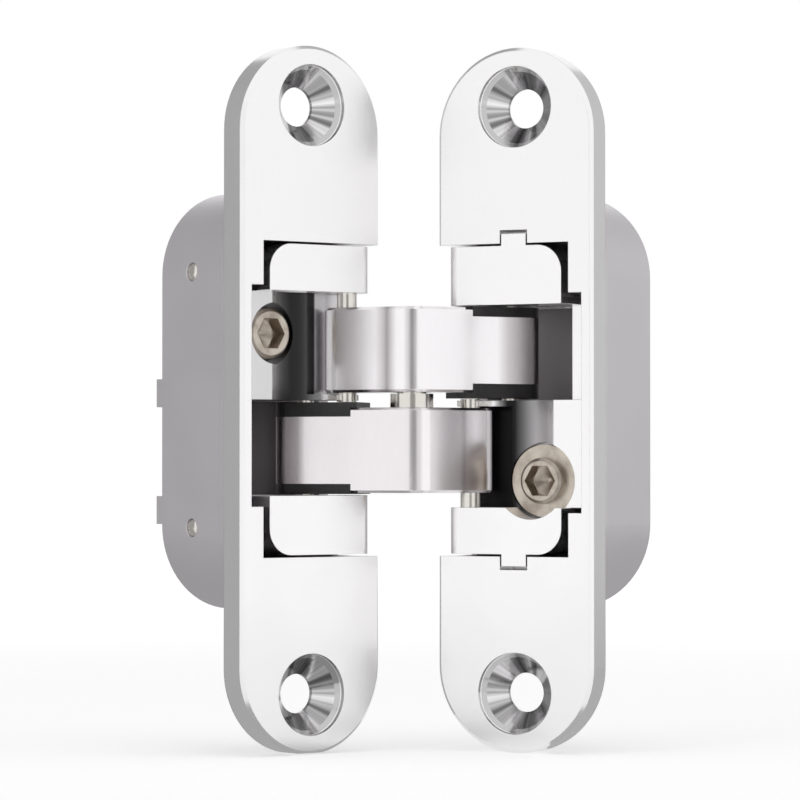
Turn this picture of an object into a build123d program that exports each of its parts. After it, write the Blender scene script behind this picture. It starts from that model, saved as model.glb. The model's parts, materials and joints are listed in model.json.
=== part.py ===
from build123d import *
import math
import os

# Leaf: faceplate, housing and opening. x runs across the leaf (0 at its middle, + towards the
# other leaf), y into the door edge from the faceplate's front, z up from the middle of the leaf.
plate_height = 95.0
plate_width = 23.3
plate_thickness = 4.0
housing_height = 57.0
housing_depth = 19.2
back_wall = 1.5
inner_wall = 1.6
inner_wall_front = 8.4
arm_window_depth = 11.6
opening_height = 42.2
cheek_strip = 3.6
waist_strip = 1.65
waist_block_end = 15.2
waist_pocket_end = 14.3
edge_break = 0.45
rear_break = 1.0

# Countersunk fixing holes
screw_spacing = 79.0
screw_hole_radius = 2.65
countersink_radius = 5.5
countersink_rim = 0.6

# Linkage: pivots of the crossed arms, in plan
pivot_inset = 3.35
pivot_depth = 3.0
closing_gap = 4.5
knuckle_to_centre = 9.6
centre_to_slide = 15.0
slide_angle_closed = 97.0
opening_shown = 112.5
opening_full = 180.0
arm_share = 0.75
guide_bends = 3

# Arms
arm_gap = 2.06
arm_height = 11.5
knuckle_radius = 3.0
hub_radius = 3.9
arm_end_radius = 2.15
arm_tail = 2.0
arm_step_from_centre = 7.7
arm_step = 1.2
arm_edge_break = 0.35
pad_lip = 0.9
pad_clearance = 0.25

# Pins, bushes and washer
pivot_pin_radius = 1.35
centre_pin_radius = 2.0
slide_pin_radius = 1.1
guide_pin_radius = 1.25
bush_wall = 0.6
running_clearance = 0.04
slot_clearance = 0.25
end_clearance = 0.2
washer_radius = 2.95

# Carriers
carrier_height_clearance = 0.3
cheek_inner_inset = 1.35
cheek_width_clearance = 1.05
cheek_corner_radius = 3.6
cheek_nose_radius = 1.5
block_cheek_clearance = 2.0
block_front = 3.0
knuckle_clearance = 0.5
hub_clearance = 1.4
hub_recess_clearance = 3.1
saddle_height = 0.8
spine_front = 6.6
spine_width = 3.5
rear_clearance = 0.95
groove_depth = 2.3
pivot_pin_cover = 0.9

# Guide pins of the sideways adjustment
guide_pin_depth = 11.4
guide_pin_height = 17.2
guide_pin_sunk = 0.5

# Sideways adjuster, an eccentric screw in the left carrier
side_screw_inset = 15.4
side_screw_height = 8.9
side_head_radius = 3.4
side_head_front = 4.1
side_head_length = 3.6
side_head_clearance = 0.75
eccentric_throw = 0.95
eccentric_pin_radius = 0.95
eccentric_slot_clearance = 0.12
side_shank_radius = 1.95

# Depth adjuster, a flanged screw in the right carrier
depth_screw_inset = 14.0
depth_screw_height = 10.9
flange_radius = 4.9
flange_thickness = 1.2
flange_front = 4.4
flange_clearance = 0.3
flange_seat_gap = 0.05
boss_radius = 3.1
boss_length = 1.5
depth_shank_radius = 1.9
depth_shank_inset = 0.75

# Hexagon sockets
key_flats = 4.0
socket_depth = 2.4
socket_cone_angle = 118.0

# Tabs of the right carrier in the notches of its leaf
tab_inset = 11.5
tab_width = 3.7
tab_height = 1.6
tab_depth = 3.2
notch_side_clearance = 0.2
notch_end_clearance = 0.5
notch_depth_clearance = 1.0

# Lugs on the back of the left housing
lug_width = 3.2
lug_height = 3.8
lug_stand = 1.6
lug_edge_inset = 0.6
lug_middles = (1.0, -14.9)


def along(start, angle, length):
    """Plan point at a length and angle in degrees from another."""
    turn = math.radians(angle)
    return Vector(start.X + length * math.cos(turn), start.Y + length * math.sin(turn))


# Plan of the linkage. Left pivot, closed arm angle, then every pivot as a function of the opening.
inner_edge = plate_width / 2
outer_edge = -plate_width / 2
left_pivot = Vector(inner_edge - pivot_inset, pivot_depth)
pivot_gap_closed = 2 * pivot_depth + closing_gap
fold_closed = math.degrees(math.acos(pivot_gap_closed / 2 / knuckle_to_centre))
knuckle_angle_closed = -90 - fold_closed


def centre_at(opening):
    return along(left_pivot, knuckle_angle_closed + arm_share * opening, knuckle_to_centre)


def slide_at(opening):
    return along(centre_at(opening), slide_angle_closed + (1 - arm_share) * opening, centre_to_slide)


def right_pivot_at(opening):
    return along(centre_at(opening), opening - 180 - knuckle_angle_closed - arm_share * opening,
                 knuckle_to_centre)


centre = centre_at(opening_shown)
slide = slide_at(opening_shown)
arm_heading = slide_angle_closed + (1 - arm_share) * opening_shown
arm_end = along(slide, arm_heading, arm_tail)
right_pivot = right_pivot_at(opening_shown)
mirror_axis = Axis((centre.X, centre.Y, 0), along(Vector(0, 0), opening_shown / 2, 1))

# Heights that follow from the arms
arm_near = arm_gap / 2
arm_far = arm_near + arm_height
pocket_far = arm_far + pad_clearance + 2 * running_clearance
block_far = arm_far + block_cheek_clearance
carrier_half = opening_height / 2 - carrier_height_clearance
cavity_back = housing_depth - back_wall
carrier_back = cavity_back - rear_clearance
cheek_outer = outer_edge + cheek_strip + cheek_width_clearance
cheek_inner = inner_edge - cheek_inner_inset
block_outer = outer_edge + waist_strip + cheek_width_clearance
block_inner = inner_edge - inner_wall - cheek_width_clearance
bush_radius = pivot_pin_radius + running_clearance + bush_wall
centre_bush_radius = centre_pin_radius + running_clearance + bush_wall


def turned_over(shape):
    """The same piece on the other leaf: the hinge is alike when turned over about its middle."""
    return shape.rotate(mirror_axis, 180)


def slab(x_min, x_max, y_min, y_max, z_min, z_max):
    middle = ((x_min + x_max) / 2, (y_min + y_max) / 2, (z_min + z_max) / 2)
    return Pos(*middle) * Box(x_max - x_min, y_max - y_min, z_max - z_min)


def raised(profile, z_min, z_max):
    return extrude(Pos(0, 0, z_min) * profile, amount=z_max - z_min, dir=(0, 0, 1))


def disc(point, radius):
    return Pos(point.X, point.Y) * Circle(radius)


def post(point, radius, z_min, z_max):
    return raised(disc(point, radius), z_min, z_max)


def web(first, first_radius, second, second_radius):
    """Plan of two discs and the straight flanks that touch both."""
    span = second - first
    lean = math.degrees(math.acos((first_radius - second_radius) / span.length))
    heading = math.degrees(math.atan2(span.Y, span.X))
    flank = Polygon(
        *[along(first, heading + lean, first_radius), along(first, heading - lean, first_radius),
          along(second, heading - lean, second_radius), along(second, heading + lean, second_radius)],
        align=None,
    )
    return disc(first, first_radius) + flank + disc(second, second_radius)


def depth_plane(depth):
    """Sketch plane across the leaf at a depth, with its normal into the door edge."""
    return Plane(origin=(0, depth, 0), x_dir=(-1, 0, 0), z_dir=(0, 1, 0))


def sunk(profile, y_min, y_max):
    return extrude(depth_plane(y_min) * profile, amount=y_max - y_min)


def barrel(x, z, radius, y_min, y_max):
    return sunk(Pos(-x, z) * Circle(radius), y_min, y_max)


def bend(start, middle, end, radius):
    """Plan of a channel of even width along the arc through three points, with round ends."""
    arc = ThreePointArc(start, middle, end)
    hub = arc.arc_center
    reach = 2 * arc.radius
    corners = [hub + (point - hub).normalized() * reach for point in (start, middle, end)]
    band = disc(hub, arc.radius + radius) - disc(hub, arc.radius - radius)
    return (band & Polygon(hub, *corners, align=None)) + disc(start, radius) + disc(end, radius)


def slide_path(radius):
    """Plan of the curved guide that the slide pin keeps to from closed to fully open."""
    spans = 2 * guide_bends
    stops = [slide_at(opening_full * span / spans) for span in range(spans + 1)]
    track = bend(*stops[:3], radius)
    for first in range(2, spans, 2):
        track += bend(*stops[first:first + 3], radius)
    return track


def fixing_hole(z):
    """Countersunk screw hole: a short rim, a right-angled cone and the hole."""
    cone_end = countersink_rim + countersink_radius - screw_hole_radius
    outline = Polyline(
        (0, 0), (countersink_radius, 0), (countersink_radius, countersink_rim),
        (screw_hole_radius, cone_end), (screw_hole_radius, plate_thickness), (0, plate_thickness),
        close=True,
    )
    return Pos(0, 0, z) * revolve(make_face(outline), Axis.Y)


def guide_posts(radius, x_min, x_max):
    """Two bars across the leaf, above and below the arms."""
    bars = []
    for z in (guide_pin_height, -guide_pin_height):
        start = Plane(origin=(x_min, guide_pin_depth, z), z_dir=(1, 0, 0))
        bars.append(extrude(start * Circle(radius), amount=x_max - x_min))
    return bars


def leaf_body():
    """Cast leaf: faceplate with round ends, housing behind it and the cavity for the carrier."""
    plate = sunk(SlotOverall(plate_height, plate_width, rotation=90), 0, plate_thickness)
    plate = chamfer(plate.faces().sort_by(Axis.Y)[0].edges(), edge_break)
    housing = sunk(SlotOverall(housing_height, plate_width, rotation=90), plate_thickness, housing_depth)
    housing = chamfer(housing.faces().sort_by(Axis.Y)[-1].edges(), rear_break)
    body = plate + housing
    half = opening_height / 2
    inside = inner_edge - inner_wall
    body -= slab(outer_edge + cheek_strip, inside, 0, cavity_back, -half, half)
    body -= slab(inside, inner_edge, 0, inner_wall_front, -half, half)
    body -= slab(outer_edge + waist_strip, inside, 0, cavity_back, -waist_pocket_end, waist_block_end)
    body -= slab(inside, inner_edge, 0, arm_window_depth, -waist_pocket_end, waist_block_end)
    for z in (screw_spacing / 2, -screw_spacing / 2):
        body -= fixing_hole(z)
    return body


def left_body():
    """Leaf with lugs behind it, the guide pin holes and the upright slot for the eccentric pin."""
    body = leaf_body()
    for middle in lug_middles:
        lug_outer = outer_edge + lug_edge_inset
        lug = slab(lug_outer, lug_outer + lug_width, cavity_back, housing_depth + lug_stand,
                   middle - lug_height / 2, middle + lug_height / 2)
        body += chamfer(lug.faces().sort_by(Axis.Y)[-1].edges(), edge_break)
    body -= guide_posts(guide_pin_radius, outer_edge, inner_edge)
    x = inner_edge - side_screw_inset
    slot_radius = eccentric_pin_radius + eccentric_slot_clearance
    slot = SlotCenterToCenter(2 * eccentric_throw, 2 * slot_radius, rotation=90)
    return body - sunk(Pos(-x, side_screw_height) * slot, cavity_back, housing_depth)


def right_body():
    """Leaf with notches for the carrier's tabs and the tapped hole of the depth screw."""
    body = leaf_body()
    x = inner_edge - tab_inset
    half_width = tab_width / 2 + notch_side_clearance
    reach = opening_height / 2 - carrier_height_clearance + tab_height + notch_end_clearance
    body -= slab(x - half_width, x + half_width, 0, tab_depth + notch_depth_clearance, -reach, reach)
    x = inner_edge - depth_screw_inset
    bore = depth_shank_radius + running_clearance
    return body - barrel(x, depth_screw_height, bore, cavity_back, housing_depth)


def carrier():
    """Cast carrier: two cheeks, the block behind the knuckle and the spine beside the pocket."""
    cheek = slab(cheek_outer, block_inner, 0, carrier_back, -carrier_half, carrier_half)
    nose = slab(block_inner, cheek_inner, 0, inner_wall_front - cheek_width_clearance,
                -carrier_half, carrier_half)
    cheeks = cheek + nose
    corners = cheeks.edges().filter_by(Axis.Y).group_by(Axis.X)[0]
    cheeks = fillet(corners, cheek_corner_radius)
    front_nose = cheeks.edges().filter_by(Axis.Z).group_by(Axis.Y)[0].sort_by(Axis.X)[-1]
    cheeks = fillet(front_nose, cheek_nose_radius)
    cheeks -= slab(cheek_outer, cheek_inner, 0, carrier_back, -pocket_far, block_far)
    block = slab(block_outer, block_inner, block_front, carrier_back, 0, block_far)
    block += slab(block_inner, cheek_inner, block_front, inner_wall_front - cheek_width_clearance,
                  0, block_far)
    knuckle_room = knuckle_radius + knuckle_clearance
    hub_room = hub_radius + hub_clearance
    for opening in (0, opening_full):
        swing = web(left_pivot, knuckle_room, centre_at(opening), hub_room)
        block -= raised(swing, saddle_height, block_far)
    block -= post(centre_at(0), hub_radius + hub_recess_clearance, 0, block_far)
    block -= slab(left_pivot.X - bush_radius, cheek_inner, 0, pivot_depth, 0, saddle_height)
    spine = slab(block_outer, block_outer + spine_width, spine_front, carrier_back, -pocket_far, 0)
    body = cheeks + block + spine
    groove = slide_path(slide_pin_radius + slot_clearance)
    body -= raised(groove, 0, groove_depth)
    body -= raised(groove, -pocket_far - groove_depth, -pocket_far)
    return body - post(left_pivot, pivot_pin_radius, 0, carrier_half - pivot_pin_cover)


def left_carrier():
    """Carrier that slides sideways on the guide pins, bored for the eccentric screw."""
    body = carrier() - guide_posts(guide_pin_radius + running_clearance, outer_edge, inner_edge)
    x = inner_edge - side_screw_inset
    head_back = side_head_front + side_head_length + running_clearance
    body -= barrel(x, side_screw_height, side_head_radius + side_head_clearance, 0, head_back)
    shank_bore = side_shank_radius + running_clearance
    return body - barrel(x, side_screw_height, shank_bore, head_back, carrier_back)


def right_carrier():
    """Carrier that slides in depth, with tabs for the notches and a seat for the flanged screw."""
    body = carrier()
    x = inner_edge - tab_inset
    reach = carrier_half + tab_height
    for low, high in ((carrier_half, reach), (-reach, -carrier_half)):
        body += slab(x - tab_width / 2, x + tab_width / 2, 0, tab_depth, low, high)
    x = inner_edge - depth_screw_inset
    seat = flange_front + flange_thickness + flange_seat_gap
    body -= barrel(x, depth_screw_height, flange_radius + flange_clearance, 0, seat)
    return body - barrel(x, depth_screw_height, depth_shank_radius + running_clearance, seat, carrier_back)


def hex_socket(x, z, front):
    """Hexagon socket with the drill's conical bottom."""
    hexagon = RegularPolygon(key_flats / 2, 6, major_radius=False)
    flats = sunk(Pos(-x, z) * hexagon, front, front + socket_depth)
    cone_height = key_flats / 2 / math.tan(math.radians(socket_cone_angle / 2))
    point = Polyline((0, 0), (key_flats / 2, 0), (0, cone_height), close=True)
    return flats + Pos(x, front + socket_depth, z) * revolve(make_face(point), Axis.Y)


def side_screw():
    x = inner_edge - side_screw_inset
    head_back = side_head_front + side_head_length
    head = barrel(x, side_screw_height, side_head_radius, side_head_front, head_back)
    head = chamfer(head.faces().sort_by(Axis.Y)[0].edges(), edge_break)
    screw = head + barrel(x, side_screw_height, side_shank_radius, head_back, carrier_back)
    screw += barrel(x, side_screw_height + eccentric_throw, eccentric_pin_radius,
                    carrier_back, housing_depth)
    return screw - hex_socket(x, side_screw_height, side_head_front)


def depth_screw():
    x = inner_edge - depth_screw_inset
    boss = barrel(x, depth_screw_height, boss_radius, flange_front - boss_length, flange_front)
    boss = chamfer(boss.faces().sort_by(Axis.Y)[0].edges(), edge_break)
    flange_back = flange_front + flange_thickness
    screw = boss + barrel(x, depth_screw_height, flange_radius, flange_front, flange_back)
    screw += barrel(x, depth_screw_height, depth_shank_radius, flange_back, housing_depth - depth_shank_inset)
    return screw - hex_socket(x, depth_screw_height, flange_front - boss_length)


def arm(centre_bore):
    """Lower arm: knuckle, hub and stepped end in one cranked casting."""
    outline = web(right_pivot, knuckle_radius, centre, hub_radius)
    outline += web(centre, hub_radius, arm_end, arm_end_radius)
    body = raised(outline, -arm_far, -arm_near)
    rims = body.faces().filter_by(Axis.Z).edges()
    body = chamfer(rims, arm_edge_break)
    for low, high in ((-arm_near - arm_step, -arm_near), (-arm_far, -arm_far + arm_step)):
        body -= raised(arm_end_field(arm_step_from_centre), low, high)
    body -= post(right_pivot, bush_radius, -arm_far, -arm_near)
    body -= post(centre, centre_bore, -arm_far, -arm_near)
    return body - post(slide, slide_pin_radius, -arm_far, -arm_near)


def arm_end_field(start):
    """Plan field that covers the arm beyond a distance from its hub, out past its end."""
    field = Pos(start + centre_to_slide / 2, 0) * Rectangle(centre_to_slide, 2 * centre_to_slide)
    return Pos(centre.X, centre.Y) * Rot(0, 0, arm_heading) * field


def glide_pads():
    """Plastic pads above and below the stepped end of the lower arm, each with a small lip."""
    outline = web(centre, hub_radius, arm_end, arm_end_radius)
    seat = outline & arm_end_field(arm_step_from_centre)
    lip = outline & arm_end_field(arm_step_from_centre - pad_lip)
    near_face = -running_clearance - pad_clearance
    far_face = -pocket_far + running_clearance + pad_clearance / 2
    upper = raised(seat, -arm_near - arm_step, near_face) + raised(lip, -arm_near, near_face)
    lower = raised(seat, far_face, -arm_far + arm_step) + raised(lip, far_face, -arm_far)
    hole = post(slide, slide_pin_radius, far_face, near_face)
    return upper - hole, lower - hole


def ring(point, outer, inner, z_min, z_max):
    return raised(disc(point, outer) - disc(point, inner), z_min, z_max)


pivot_pin = post(left_pivot, pivot_pin_radius, end_clearance - saddle_height / 2,
                 carrier_half - pivot_pin_cover)
pivot_bush = ring(right_pivot, bush_radius, pivot_pin_radius + running_clearance, -arm_far, -arm_near)
slide_pin = post(slide, slide_pin_radius, -pocket_far - groove_depth + end_clearance,
                 groove_depth - end_clearance)
upper_pad, lower_pad = glide_pads()
upper_guide, lower_guide = guide_posts(guide_pin_radius, outer_edge + guide_pin_sunk,
                                       inner_edge - guide_pin_sunk)
bushed_arm = arm(centre_bush_radius)

nodes = {
    "left_body": left_body(),
    "left_carrier": left_carrier(),
    "left_pivot_pin": pivot_pin,
    "left_upper_guide_pin": upper_guide,
    "left_lower_guide_pin": lower_guide,
    "left_side_screw": side_screw(),
    "right_body": turned_over(right_body()),
    "right_carrier": turned_over(right_carrier()),
    "right_pivot_pin": turned_over(pivot_pin),
    "right_depth_screw": turned_over(depth_screw()),
    "lower_arm": arm(centre_pin_radius),
    "lower_arm_bush": pivot_bush,
    "lower_arm_slide_pin": slide_pin,
    "lower_arm_upper_pad": upper_pad,
    "lower_arm_lower_pad": lower_pad,
    "upper_arm": turned_over(bushed_arm),
    "upper_arm_bush": turned_over(pivot_bush),
    "upper_arm_slide_pin": turned_over(slide_pin),
    "upper_arm_lower_pad": turned_over(upper_pad),
    "upper_arm_upper_pad": turned_over(lower_pad),
    "centre_pin": post(centre, centre_pin_radius, -arm_far, arm_far),
    "centre_bush": turned_over(ring(centre, centre_bush_radius, centre_pin_radius + running_clearance,
                                    -arm_far, -arm_near)),
    "centre_washer": ring(centre, washer_radius, centre_pin_radius, -arm_near, arm_near - end_clearance),
}

# The finished hinge has its origin on the seat of the left faceplate, between the fixing holes.
seat = Pos(0, -plate_thickness, 0)
os.makedirs("parts", exist_ok=True)
for name, solid in nodes.items():
    export_step(seat * solid, f"parts/{name}.step")

print("pivots", left_pivot, centre, right_pivot, slide)
print("arm swing from rest", -opening_shown * arm_share, (opening_full - opening_shown) * arm_share)
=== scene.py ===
import json
import math
import bpy
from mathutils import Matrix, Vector


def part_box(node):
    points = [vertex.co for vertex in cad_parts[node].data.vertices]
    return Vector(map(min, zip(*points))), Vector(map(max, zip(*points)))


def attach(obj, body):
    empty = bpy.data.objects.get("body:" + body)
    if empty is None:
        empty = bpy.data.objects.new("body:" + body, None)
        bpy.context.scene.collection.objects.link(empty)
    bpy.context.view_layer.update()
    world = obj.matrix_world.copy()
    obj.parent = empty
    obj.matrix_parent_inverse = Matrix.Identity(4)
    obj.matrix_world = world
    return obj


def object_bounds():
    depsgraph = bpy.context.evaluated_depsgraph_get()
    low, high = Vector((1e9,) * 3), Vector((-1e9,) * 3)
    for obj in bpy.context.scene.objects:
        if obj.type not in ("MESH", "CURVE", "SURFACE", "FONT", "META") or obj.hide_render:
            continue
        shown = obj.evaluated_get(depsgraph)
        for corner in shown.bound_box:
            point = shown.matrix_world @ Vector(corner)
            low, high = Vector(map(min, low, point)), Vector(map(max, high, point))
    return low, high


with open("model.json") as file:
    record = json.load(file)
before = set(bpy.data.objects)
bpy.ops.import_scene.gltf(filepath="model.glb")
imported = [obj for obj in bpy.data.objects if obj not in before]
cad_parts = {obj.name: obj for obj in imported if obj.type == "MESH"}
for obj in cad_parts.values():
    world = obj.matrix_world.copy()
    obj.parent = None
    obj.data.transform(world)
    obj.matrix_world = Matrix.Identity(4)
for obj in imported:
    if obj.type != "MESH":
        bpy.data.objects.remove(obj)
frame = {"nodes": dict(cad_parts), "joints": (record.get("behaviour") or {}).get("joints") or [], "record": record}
cadLow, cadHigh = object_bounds()
nodes = frame["nodes"]
record = frame["record"]
scene = bpy.context.scene
mm = 0.001


def mountCalled(name):
    return next(m for m in record["mounts"] if m["name"] == name)


def jointCalled(name):
    return next(j for j in frame["joints"] if j["name"] == name)


# where each leaf sits: its origin is on the plate's seat, local y runs into the door edge, and facing
# tells whether the other leaf lies at + or - x
rightMount = mountCalled("right_fixing_screws")
rightInward = -Vector(rightMount["axis"])
leafFrames = {
    "left": {"origin": Vector((0, 0, 0)), "turn": 0.0, "facing": 1.0},
    "right": {
        "origin": Vector(rightMount["pos_m"]),
        "turn": math.atan2(rightInward.y, rightInward.x) - math.pi / 2,
        "facing": -1.0,
    },
}


# shader node helpers
def addNode(tree, kind, at, **settings):
    node = tree.nodes.new(kind)
    node.location = at
    for key, value in settings.items():
        setattr(node, key, value)
    return node


def wire(tree, fromNode, fromName, toNode, toName):
    tree.links.new(fromNode.outputs[fromName], toNode.inputs[toName])


def setInputs(node, values):
    for key, value in values.items():
        node.inputs[key].default_value = value


def mapRange(tree, at, fromLimits=(0.0, 1.0), toLimits=(0.0, 1.0), **settings):
    node = addNode(tree, "ShaderNodeMapRange", at, **settings)
    labels = ("From Min", "From Max", "To Min", "To Max")
    setInputs(node, dict(zip(labels, (*fromLimits, *toLimits))))
    return node


# 1 for camera, mirrored and transmitted rays, 0 for the rays that only light other surfaces
def directView(tree, seen):
    x, y = seen.location
    straight = addNode(tree, "ShaderNodeMath", (x + 200, y), operation="MAXIMUM")
    wire(tree, seen, "Is Camera Ray", straight, 0)
    wire(tree, seen, "Is Glossy Ray", straight, 1)
    direct = addNode(tree, "ShaderNodeMath", (x + 400, y), operation="MAXIMUM")
    wire(tree, straight, "Value", direct, 0)
    wire(tree, seen, "Is Transmission Ray", direct, 1)
    return direct


def newGroup(name, inputs, outputs):
    tree = bpy.data.node_groups.new(name, "ShaderNodeTree")
    for label, kind, value in inputs:
        socket = tree.interface.new_socket(label, in_out="INPUT", socket_type=kind)
        if value is not None:
            socket.default_value = value
    for label, kind in outputs:
        tree.interface.new_socket(label, in_out="OUTPUT", socket_type=kind)
    start = addNode(tree, "NodeGroupInput", (-800, 0))
    end = addNode(tree, "NodeGroupOutput", (600, 0))
    return tree, start, end


def placeGroup(tree, group, at, **values):
    node = addNode(tree, "ShaderNodeGroup", at, node_tree=group)
    setInputs(node, values)
    return node


# what the surfaces share; pastMiddle: how far a half of the leaf reaches past its middle height
finishLook = {"grainDetail": 3.0, "grainRough": 0.6, "peelDetail": 2.0, "hazeDetail": 5.0,
              "hazeLimits": (0.35, 0.7), "streakDetail": 3.0, "pastMiddle": 0.1 * mm,
              "edgeRadius": 0.12 * mm, "edgeSamples": 4}


# grain: fine lines along the piece's height, left by linishing before plating
def makeGrainGroup():
    tree, start, end = newGroup(
        "linishedGrain",
        [("Vector", "NodeSocketVector", None), ("Lines", "NodeSocketVector", (9000.0, 9000.0, 260.0))],
        [("Grain", "NodeSocketFloat")],
    )
    stretch = addNode(tree, "ShaderNodeVectorMath", (-500, 0), operation="MULTIPLY")
    noise = addNode(tree, "ShaderNodeTexNoise", (-250, 0))
    setInputs(noise, {"Scale": 1.0, "Detail": finishLook["grainDetail"],
                      "Roughness": finishLook["grainRough"]})
    wire(tree, start, "Vector", stretch, 0)
    wire(tree, start, "Lines", stretch, 1)
    wire(tree, stretch, "Vector", noise, "Vector")
    wire(tree, noise, "Fac", end, "Grain")
    return tree


# skin: the soft orange peel and handling haze of a plated casting
def makeSkinGroup():
    tree, start, end = newGroup(
        "platedSkin",
        [("Vector", "NodeSocketVector", None), ("Peel Size", "NodeSocketFloat", 1400.0),
         ("Haze Size", "NodeSocketFloat", 90.0)],
        [("Peel", "NodeSocketFloat"), ("Haze", "NodeSocketFloat")],
    )
    peel = addNode(tree, "ShaderNodeTexNoise", (-300, 150))
    setInputs(peel, {"Detail": finishLook["peelDetail"]})
    haze = addNode(tree, "ShaderNodeTexNoise", (-300, -150))
    setInputs(haze, {"Detail": finishLook["hazeDetail"]})
    spread = mapRange(tree, (0, -150), finishLook["hazeLimits"], interpolation_type="SMOOTHSTEP")
    for noise, size in ((peel, "Peel Size"), (haze, "Haze Size")):
        wire(tree, start, "Vector", noise, "Vector")
        wire(tree, start, size, noise, "Scale")
    wire(tree, haze, "Fac", spread, "Value")
    wire(tree, peel, "Fac", end, "Peel")
    wire(tree, spread, "Result", end, "Haze")
    return tree


# depth: 0 at the front of the leaf, 1 deep inside it, where the deep tone paints shade and the finish is rougher;
# Block Side limits it to the upper (1) or lower (-1) half, and 0 leaves it on both
def makeDepthGroup():
    tree, start, end = newGroup(
        "leafDepth",
        [("Vector", "NodeSocketVector", None), ("Front", "NodeSocketFloat", -0.004),
         ("Back", "NodeSocketFloat", 0.006), ("Block Side", "NodeSocketFloat", 0.0)],
        [("Depth", "NodeSocketFloat")],
    )
    split = addNode(tree, "ShaderNodeSeparateXYZ", (-600, 0))
    ramp = addNode(tree, "ShaderNodeMapRange", (-350, 150), interpolation_type="SMOOTHSTEP")
    height = addNode(tree, "ShaderNodeMath", (-350, -150), operation="MULTIPLY")
    within = addNode(tree, "ShaderNodeMath", (-150, -150), operation="GREATER_THAN")
    within.inputs[1].default_value = -finishLook["pastMiddle"]
    masked = addNode(tree, "ShaderNodeMath", (100, 0), operation="MULTIPLY")
    wire(tree, start, "Vector", split, "Vector")
    wire(tree, split, "Y", ramp, "Value")
    wire(tree, start, "Front", ramp, "From Min")
    wire(tree, start, "Back", ramp, "From Max")
    wire(tree, split, "Z", height, 0)
    wire(tree, start, "Block Side", height, 1)
    wire(tree, height, "Value", within, 0)
    wire(tree, ramp, "Result", masked, 0)
    wire(tree, within, "Value", masked, 1)
    wire(tree, masked, "Value", end, "Depth")
    return tree


# countersink: Mask is 1 on the turned cones of a leaf's fixing holes and Rim 1 at their outer edge, where a
# painted ring of shade goes;
# Rings and Streak are the tool's marks, and Streak also paints a streaky reflection; Angle runs from 0 to 1 round
# the hole for the painted light and shade, and Facing mirrors it
def makeCountersinkGroup():
    tree, start, end = newGroup(
        "turnedCountersink",
        [("Vector", "NodeSocketVector", None), ("Hole Height", "NodeSocketFloat", 0.0395),
         ("Radius", "NodeSocketFloat", 0.0054), ("Below", "NodeSocketFloat", -0.0036),
         ("Above", "NodeSocketFloat", -0.0001),
         ("Ring Pitch", "NodeSocketFloat", 0.00025), ("Rim Radius", "NodeSocketFloat", 0.00485),
         ("Facing", "NodeSocketFloat", 1.0), ("Streak Scale", "NodeSocketFloat", 2.6)],
        [("Mask", "NodeSocketFloat"), ("Rings", "NodeSocketFloat"), ("Angle", "NodeSocketFloat"),
         ("Streak", "NodeSocketFloat"), ("Rim", "NodeSocketFloat")],
    )
    split = addNode(tree, "ShaderNodeSeparateXYZ", (-600, 0))
    fold = addNode(tree, "ShaderNodeMath", (-400, -150), operation="ABSOLUTE")
    offset = addNode(tree, "ShaderNodeMath", (-200, -150), operation="SUBTRACT")
    joined = addNode(tree, "ShaderNodeCombineXYZ", (0, -50))
    radius = addNode(tree, "ShaderNodeVectorMath", (150, -50), operation="LENGTH")
    inside = addNode(tree, "ShaderNodeMath", (300, 100), operation="LESS_THAN")
    sunk = addNode(tree, "ShaderNodeMath", (0, 200), operation="GREATER_THAN")
    ahead = addNode(tree, "ShaderNodeMath", (0, 350), operation="LESS_THAN")
    within = addNode(tree, "ShaderNodeMath", (200, 250), operation="MULTIPLY")
    mask = addNode(tree, "ShaderNodeMath", (450, 150), operation="MULTIPLY")
    ring = addNode(tree, "ShaderNodeMath", (300, -150), operation="PINGPONG")
    scaled = addNode(tree, "ShaderNodeMath", (450, -150), operation="DIVIDE")
    faced = addNode(tree, "ShaderNodeMath", (-200, -350), operation="MULTIPLY")
    turned = addNode(tree, "ShaderNodeMath", (0, -350), operation="ARCTAN2")
    share = mapRange(tree, (200, -350), (-math.pi, math.pi))
    rim = addNode(tree, "ShaderNodeMath", (300, 300), operation="GREATER_THAN")
    aim = addNode(tree, "ShaderNodeVectorMath", (150, -550), operation="NORMALIZE")
    streak = addNode(tree, "ShaderNodeTexNoise", (350, -550))
    setInputs(streak, {"Detail": finishLook["streakDetail"]})
    wire(tree, start, "Vector", split, "Vector")
    wire(tree, split, "Z", fold, 0)
    wire(tree, fold, "Value", offset, 0)
    wire(tree, start, "Hole Height", offset, 1)
    wire(tree, split, "X", faced, 0)
    wire(tree, start, "Facing", faced, 1)
    wire(tree, faced, "Value", joined, "X")
    wire(tree, offset, "Value", joined, "Z")
    wire(tree, joined, "Vector", radius, 0)
    wire(tree, radius, "Value", inside, 0)
    wire(tree, start, "Radius", inside, 1)
    wire(tree, split, "Y", sunk, 0)
    wire(tree, start, "Below", sunk, 1)
    wire(tree, split, "Y", ahead, 0)
    wire(tree, start, "Above", ahead, 1)
    wire(tree, sunk, "Value", within, 0)
    wire(tree, ahead, "Value", within, 1)
    wire(tree, inside, "Value", mask, 0)
    wire(tree, within, "Value", mask, 1)
    wire(tree, radius, "Value", ring, 0)
    wire(tree, start, "Ring Pitch", ring, 1)
    wire(tree, ring, "Value", scaled, 0)
    wire(tree, start, "Ring Pitch", scaled, 1)
    wire(tree, joined, "Vector", aim, 0)
    wire(tree, aim, "Vector", streak, "Vector")
    wire(tree, start, "Streak Scale", streak, "Scale")
    wire(tree, streak, "Fac", end, "Streak")
    wire(tree, offset, "Value", turned, 0)
    wire(tree, faced, "Value", turned, 1)
    wire(tree, turned, "Value", share, "Value")
    wire(tree, radius, "Value", rim, 0)
    wire(tree, start, "Rim Radius", rim, 1)
    wire(tree, mask, "Value", end, "Mask")
    wire(tree, scaled, "Value", end, "Rings")
    wire(tree, share, "Result", end, "Angle")
    wire(tree, rim, "Value", end, "Rim")
    return tree
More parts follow.
